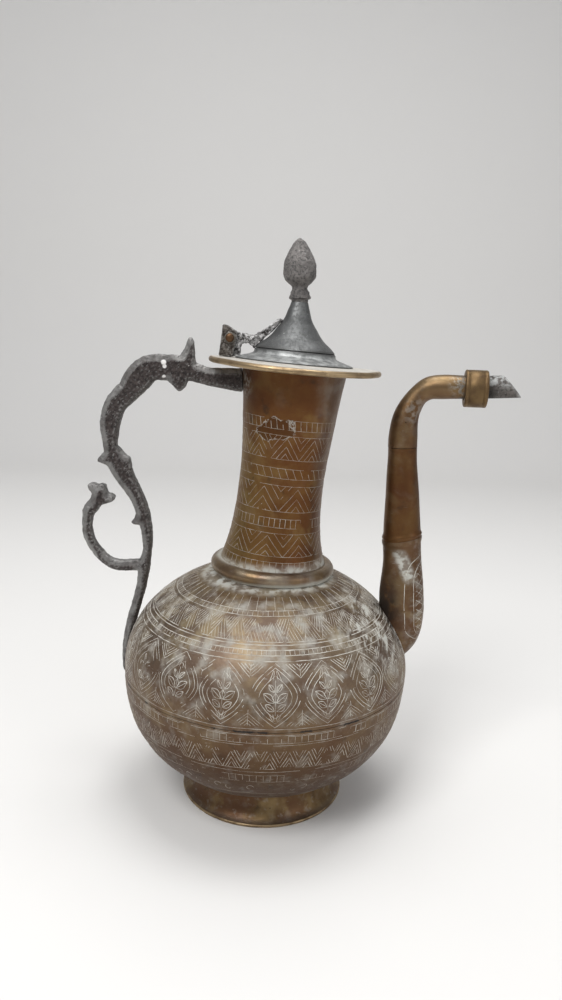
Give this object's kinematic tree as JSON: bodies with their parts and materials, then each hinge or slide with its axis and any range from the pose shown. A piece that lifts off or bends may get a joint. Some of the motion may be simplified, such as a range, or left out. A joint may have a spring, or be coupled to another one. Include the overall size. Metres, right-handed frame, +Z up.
{
  "type": "copper ewer",
  "caption": "Round-bellied sheet-metal ewer with a waisted neck, hinged bell lid, cast scroll handle and swan-neck spout.",
  "frame": {"origin": "on the table under the middle of the whole outline", "axes": "+Z up, +X towards the spout, -X towards the handle"},
  "size_m": [0.265, 0.18, 0.3499],
  "materials": {
    "copper_sheet": "old browned copper with pale residue in the engraving",
    "bare_brass": "worn bare brass edge",
    "tinned_copper": "dull grey tinning",
    "dark_casting": "dark rough casting with bright edges"
  },
  "bodies": {
    "vessel": {"foot_rim": "bare_brass", "foot_ring": "copper_sheet", "body_lower": "copper_sheet", "body_upper": "copper_sheet", "neck_ring": "copper_sheet", "neck_tube": "copper_sheet", "handle": "dark_casting", "spout_base": "copper_sheet", "spout_shaft": "copper_sheet", "spout_bend": "copper_sheet", "spout_collar": "bare_brass", "spout_tip": "dark_casting", "rim_plate": "bare_brass", "hinge_ear_front": "dark_casting", "hinge_ear_back": "dark_casting", "hinge_washer_front": "tinned_copper", "hinge_washer_back": "tinned_copper", "hinge_pin": "copper_sheet"},
    "lid": {"lid_cover": "tinned_copper", "lid_inner_sleeve": "tinned_copper", "lid_strap": "dark_casting", "finial": "tinned_copper", "finial_rove": "tinned_copper"}
  },
  "joints": [
    {"name": "lid_hinge", "type": "hinge", "parent": "vessel", "child": "lid", "pos_m": [-0.04119, 0, 0.29174], "axis": [0, -1, 0], "range_deg": [0, 105]}
  ]
}
